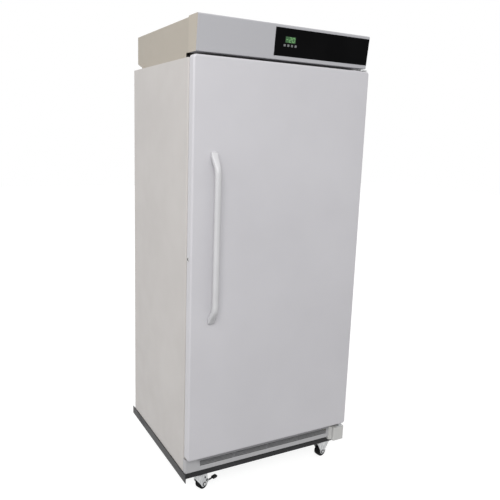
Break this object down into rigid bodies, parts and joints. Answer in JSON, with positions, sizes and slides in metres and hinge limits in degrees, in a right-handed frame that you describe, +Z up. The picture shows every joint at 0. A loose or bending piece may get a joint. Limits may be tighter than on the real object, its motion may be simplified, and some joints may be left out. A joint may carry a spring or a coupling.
{
  "type": "manual defrost freezer",
  "caption": "Upright single-door laboratory freezer with refrigerated shelves, key lock, bow handle, top control housing and a caster frame.",
  "frame": {"origin": "centre of the bounding box on the floor plane", "axes": "+X to the right facing the door, +Y backwards away from the door, +Z up"},
  "size_m": [0.82, 0.775, 1.9495],
  "materials": {
    "white_enamel": "satin white enamel",
    "foam": "rigid foam",
    "white_moulding": "glossy vacuum-formed sheet",
    "white_plastic": "satin moulding",
    "grey_button": "satin",
    "galvanised": "galvanised",
    "shelf_steel": "white coated wire",
    "copper_line": "bare copper",
    "grey_sheet": "satin paint",
    "bezel_paint": "satin paint",
    "fascia_gloss": "gloss black",
    "board": "green board",
    "nylon": "natural nylon",
    "black_plastic": "moulded",
    "compressor_paint": "black paint",
    "rubber_foot": "matt",
    "gasket_rubber": "soft",
    "black_steel": "dark satin paint",
    "zinc": "zinc plated",
    "wheel_rubber": "matt black tread"
  },
  "bodies": {
    "cabinet": {"outer_wrapper": "white_enamel", "rear_panel": "white_enamel", "cabinet_foam": "foam", "inner_liner": "white_moulding", "defrost_drain": "nylon", "underfloor_panel": "galvanised", "suction_riser": "copper_line", "temperature_probe": "nylon", "base_pan": "galvanised", "compressor": "compressor_paint", "compressor_grommets": "rubber_foot", "filter_drier": "copper_line", "rear_cover": "galvanised", "power_inlet": "black_plastic", "kick_grille": "white_plastic", "lower_hinge_cover": "white_plastic", "lower_hinge_bracket": "zinc", "upper_hinge_bracket": "zinc", "hinge_screws": "zinc", "caster_plates": "zinc", "housing_base": "galvanised", "housing_cover": "grey_sheet", "housing_bezel": "bezel_paint", "fascia_panel": "fascia_gloss", "display_window": "fascia_gloss", "controller_board": "board", "board_spacers": "nylon", "housing_screws": "zinc", "cold_shelf_1": "shelf_steel", "cold_shelf_2": "shelf_steel", "cold_shelf_3": "shelf_steel", "cold_shelf_4": "shelf_steel", "frame_rail_left": "black_steel", "frame_rail_right": "black_steel", "frame_rail_front": "black_steel", "frame_rail_rear": "black_steel"},
    "door": {"door_panel": "white_enamel", "door_foam": "foam", "door_liner": "white_moulding", "door_gasket": "gasket_rubber", "door_shelf_bars": "white_plastic", "hinge_bushes": "nylon", "lock_barrel": "zinc", "handle": "white_plastic", "handle_screws": "zinc"},
    "lock": {"lock_plug": "zinc"},
    "button_1": {"button_1": "grey_button"},
    "button_2": {"button_2": "grey_button"},
    "button_3": {"button_3": "grey_button"},
    "button_4": {"button_4": "grey_button"},
    "fork_front_left": {"caster_fork_front_left": "zinc"},
    "wheel_front_left": {"caster_wheel_front_left": "wheel_rubber"},
    "lever_front_left": {"brake_lever_front_left": "black_steel"},
    "fork_front_right": {"caster_fork_front_right": "zinc"},
    "wheel_front_right": {"caster_wheel_front_right": "wheel_rubber"},
    "fork_rear_left": {"caster_fork_rear_left": "zinc"},
    "wheel_rear_left": {"caster_wheel_rear_left": "wheel_rubber"},
    "fork_rear_right": {"caster_fork_rear_right": "zinc"},
    "wheel_rear_right": {"caster_wheel_rear_right": "wheel_rubber"},
    "lever_rear_right": {"brake_lever_rear_right": "black_steel"}
  },
  "joints": [
    {"name": "door_hinge", "type": "hinge", "parent": "cabinet", "child": "door", "pos_m": [0.39, -0.3125, 1], "axis": [0, 0, 1], "range_deg": [0, 120]},
    {"name": "lock_turn", "type": "hinge", "parent": "door", "child": "lock", "pos_m": [-0.4065, -0.3065, 1.042], "axis": [-1, 0, 0], "range_deg": [0, 90]},
    {"name": "button_1_press", "type": "slide", "parent": "cabinet", "child": "button_1", "axis": [0, 0.9935, 0.1142], "range_m": [0, 0.0008], "stiffness_N_per_m": 500, "springref_m": -0.0005},
    {"name": "button_2_press", "type": "slide", "parent": "cabinet", "child": "button_2", "axis": [0, 0.9935, 0.1142], "range_m": [0, 0.0008], "stiffness_N_per_m": 500, "springref_m": -0.0005},
    {"name": "button_3_press", "type": "slide", "parent": "cabinet", "child": "button_3", "axis": [0, 0.9935, 0.1142], "range_m": [0, 0.0008], "stiffness_N_per_m": 500, "springref_m": -0.0005},
    {"name": "button_4_press", "type": "slide", "parent": "cabinet", "child": "button_4", "axis": [0, 0.9935, 0.1142], "range_m": [0, 0.0008], "stiffness_N_per_m": 500, "springref_m": -0.0005},
    {"name": "swivel_front_left", "type": "hinge", "parent": "cabinet", "child": "fork_front_left", "pos_m": [-0.3155, -0.258, 0.066], "axis": [0, 0, 1], "continuous": true},
    {"name": "roll_front_left", "type": "hinge", "parent": "fork_front_left", "child": "wheel_front_left", "pos_m": [-0.30516, -0.25424, 0.025], "axis": [-0.342, 0.9397, 0], "continuous": true},
    {"name": "brake_front_left", "type": "hinge", "parent": "fork_front_left", "child": "lever_front_left", "pos_m": [-0.28208, -0.26797, 0.036], "axis": [-0.342, 0.9397, 0], "range_deg": [0, 18]},
    {"name": "swivel_front_right", "type": "hinge", "parent": "cabinet", "child": "fork_front_right", "pos_m": [0.3155, -0.258, 0.066], "axis": [0, 0, 1], "continuous": true},
    {"name": "roll_front_right", "type": "hinge", "parent": "fork_front_right", "child": "wheel_front_right", "pos_m": [0.32633, -0.25609, 0.025], "axis": [-0.1736, 0.9848, 0], "continuous": true},
    {"name": "swivel_rear_left", "type": "hinge", "parent": "cabinet", "child": "fork_rear_left", "pos_m": [-0.3155, 0.334, 0.066], "axis": [0, 0, 1], "continuous": true},
    {"name": "roll_rear_left", "type": "hinge", "parent": "fork_rear_left", "child": "wheel_rear_left", "pos_m": [-0.30516, 0.33024, 0.025], "axis": [0.342, 0.9397, 0], "continuous": true},
    {"name": "swivel_rear_right", "type": "hinge", "parent": "cabinet", "child": "fork_rear_right", "pos_m": [0.3155, 0.334, 0.066], "axis": [0, 0, 1], "continuous": true},
    {"name": "roll_rear_right", "type": "hinge", "parent": "fork_rear_right", "child": "wheel_rear_right", "pos_m": [0.32483, 0.33983, 0.025], "axis": [-0.5299, 0.848, 0], "continuous": true},
    {"name": "brake_rear_right", "type": "hinge", "parent": "fork_rear_right", "child": "lever_rear_right", "pos_m": [0.35027, 0.3312, 0.036], "axis": [-0.5299, 0.848, 0], "range_deg": [0, 18]}
  ]
}
